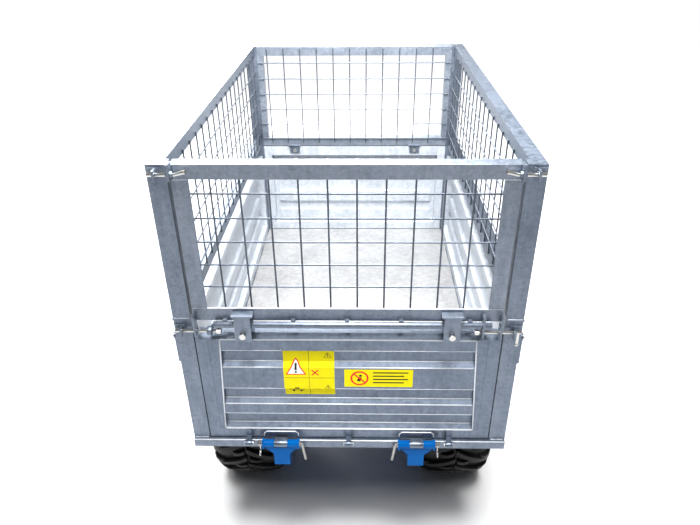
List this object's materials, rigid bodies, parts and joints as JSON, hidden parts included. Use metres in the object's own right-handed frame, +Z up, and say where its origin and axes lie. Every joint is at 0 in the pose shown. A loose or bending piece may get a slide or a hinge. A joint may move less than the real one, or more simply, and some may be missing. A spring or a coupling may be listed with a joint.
{
  "type": "mesh cage trailer",
  "caption": "Two-wheel tipping trailer: galvanised drop-side box with a welded-mesh cage and rear gate on a blue chassis.",
  "frame": {"origin": "on the ground, under the middle of the whole trailer's bounding box", "axes": "+X to the right seen from behind, +Y forwards to the towing eye, +Z up"},
  "size_m": [1.0754, 2.1826, 1.527],
  "materials": {
    "galvanised_steel": "hot-dip galvanised, matt",
    "zinc_plated": "zinc plated, satin",
    "blue_paint": "gloss blue paint",
    "pad_rubber": "matt black rubber",
    "tyre_rubber": "matt black tyre rubber",
    "rim_paint": "silver grey wheel paint"
  },
  "bodies": {
    "chassis": {"chassis_frame": "blue_paint", "rear_bracket_left": "blue_paint", "rear_bracket_right": "blue_paint", "rest_pads": "pad_rubber", "drawbar": "blue_paint", "hitch_ring": "zinc_plated", "axle_beam": "blue_paint", "tip_pins": "zinc_plated", "r_clips": "zinc_plated", "pivot_bolts": "zinc_plated"},
    "wheel_left": {"tyre_left": "tyre_rubber", "rim_left": "rim_paint", "hub_left": "rim_paint", "wheel_nuts_left": "zinc_plated"},
    "wheel_right": {"tyre_right": "tyre_rubber", "rim_right": "rim_paint", "hub_right": "rim_paint", "wheel_nuts_right": "zinc_plated"},
    "stand": {"prop_stand": "blue_paint"},
    "latch": {"tip_latch": "blue_paint"},
    "box": {"floor_frame": "galvanised_steel", "floor_sheet": "galvanised_steel", "tip_lugs": "galvanised_steel", "hinge_pins": "zinc_plated", "post_rear_left": "galvanised_steel", "post_rear_right": "galvanised_steel", "post_front_left": "galvanised_steel", "post_front_right": "galvanised_steel", "front_panel": "galvanised_steel", "front_mesh_frame": "galvanised_steel", "front_mesh": "galvanised_steel", "front_plates": "galvanised_steel", "side_mesh_frame_left": "galvanised_steel", "side_mesh_frame_right": "galvanised_steel", "side_mesh_left": "galvanised_steel", "side_mesh_right": "galvanised_steel", "mesh_bolts": "zinc_plated", "bolt_keepers": "galvanised_steel", "lever_screws": "zinc_plated"},
    "rear_door": {"tailgate": "galvanised_steel", "gate_frame": "galvanised_steel", "gate_mesh": "galvanised_steel", "tie_bar": "galvanised_steel", "strap_plates": "galvanised_steel", "strap_bolts": "zinc_plated", "bolt_lugs": "galvanised_steel"},
    "drop_side_left": {"side_panel_left": "galvanised_steel"},
    "bolt_low_left": {"slide_bolt_low_left": "zinc_plated"},
    "bolt_high_left": {"slide_bolt_high_left": "zinc_plated"},
    "lever_rear_left_body": {"lever_rear_left": "galvanised_steel"},
    "lever_front_left_body": {"lever_front_left": "galvanised_steel"},
    "drop_side_right": {"side_panel_right": "galvanised_steel"},
    "bolt_low_right": {"slide_bolt_low_right": "zinc_plated"},
    "bolt_high_right": {"slide_bolt_high_right": "zinc_plated"},
    "lever_rear_right_body": {"lever_rear_right": "galvanised_steel"},
    "lever_front_right_body": {"lever_front_right": "galvanised_steel"}
  },
  "joints": [
    {"name": "wheel_left_spin", "type": "hinge", "parent": "chassis", "child": "wheel_left", "pos_m": [-0.396, -0.5335, 0.279], "axis": [1, 0, 0], "continuous": true},
    {"name": "wheel_right_spin", "type": "hinge", "parent": "chassis", "child": "wheel_right", "pos_m": [0.396, -0.5335, 0.279], "axis": [1, 0, 0], "continuous": true},
    {"name": "box_tip", "type": "hinge", "parent": "chassis", "child": "box", "pos_m": [0, -1.0735, 0.603], "axis": [1, 0, 0], "range_deg": [0, 48]},
    {"name": "door_drop", "type": "hinge", "parent": "box", "child": "rear_door", "pos_m": [0, -1.0735, 0.603], "axis": [1, 0, 0], "range_deg": [0, 125]},
    {"name": "stand_fold", "type": "hinge", "parent": "chassis", "child": "stand", "pos_m": [0, 0.7005, 0.413], "axis": [1, 0, 0], "range_deg": [-90, 0]},
    {"name": "latch_swing", "type": "hinge", "parent": "chassis", "child": "latch", "pos_m": [0, 0.4665, 0.527], "axis": [1, 0, 0], "range_deg": [-45, 0]},
    {"name": "side_left_drop", "type": "hinge", "parent": "box", "child": "drop_side_left", "pos_m": [-0.503, -0.2995, 0.598], "axis": [0, -1, 0], "range_deg": [0, 110]},
    {"name": "bolt_low_left_slide", "type": "slide", "parent": "rear_door", "child": "bolt_low_left", "axis": [1, 0, 0], "range_m": [0, 0.026]},
    {"name": "bolt_high_left_slide", "type": "slide", "parent": "rear_door", "child": "bolt_high_left", "axis": [1, 0, 0], "range_m": [0, 0.026]},
    {"name": "lever_rear_left_swing", "type": "hinge", "parent": "box", "child": "lever_rear_left_body", "pos_m": [-0.4945, -1.0295, 0.99], "axis": [-1, 0, 0], "range_deg": [0, 90]},
    {"name": "lever_front_left_swing", "type": "hinge", "parent": "box", "child": "lever_front_left_body", "pos_m": [-0.4945, 0.4305, 0.99], "axis": [1, 0, 0], "range_deg": [0, 90]},
    {"name": "side_right_drop", "type": "hinge", "parent": "box", "child": "drop_side_right", "pos_m": [0.503, -0.2995, 0.598], "axis": [0, 1, 0], "range_deg": [0, 110]},
    {"name": "bolt_low_right_slide", "type": "slide", "parent": "rear_door", "child": "bolt_low_right", "axis": [-1, 0, 0], "range_m": [0, 0.026]},
    {"name": "bolt_high_right_slide", "type": "slide", "parent": "rear_door", "child": "bolt_high_right", "axis": [-1, 0, 0], "range_m": [0, 0.026]},
    {"name": "lever_rear_right_swing", "type": "hinge", "parent": "box", "child": "lever_rear_right_body", "pos_m": [0.4945, -1.0295, 0.99], "axis": [-1, 0, 0], "range_deg": [0, 90]},
    {"name": "lever_front_right_swing", "type": "hinge", "parent": "box", "child": "lever_front_right_body", "pos_m": [0.4945, 0.4305, 0.99], "axis": [1, 0, 0], "range_deg": [0, 90]}
  ]
}
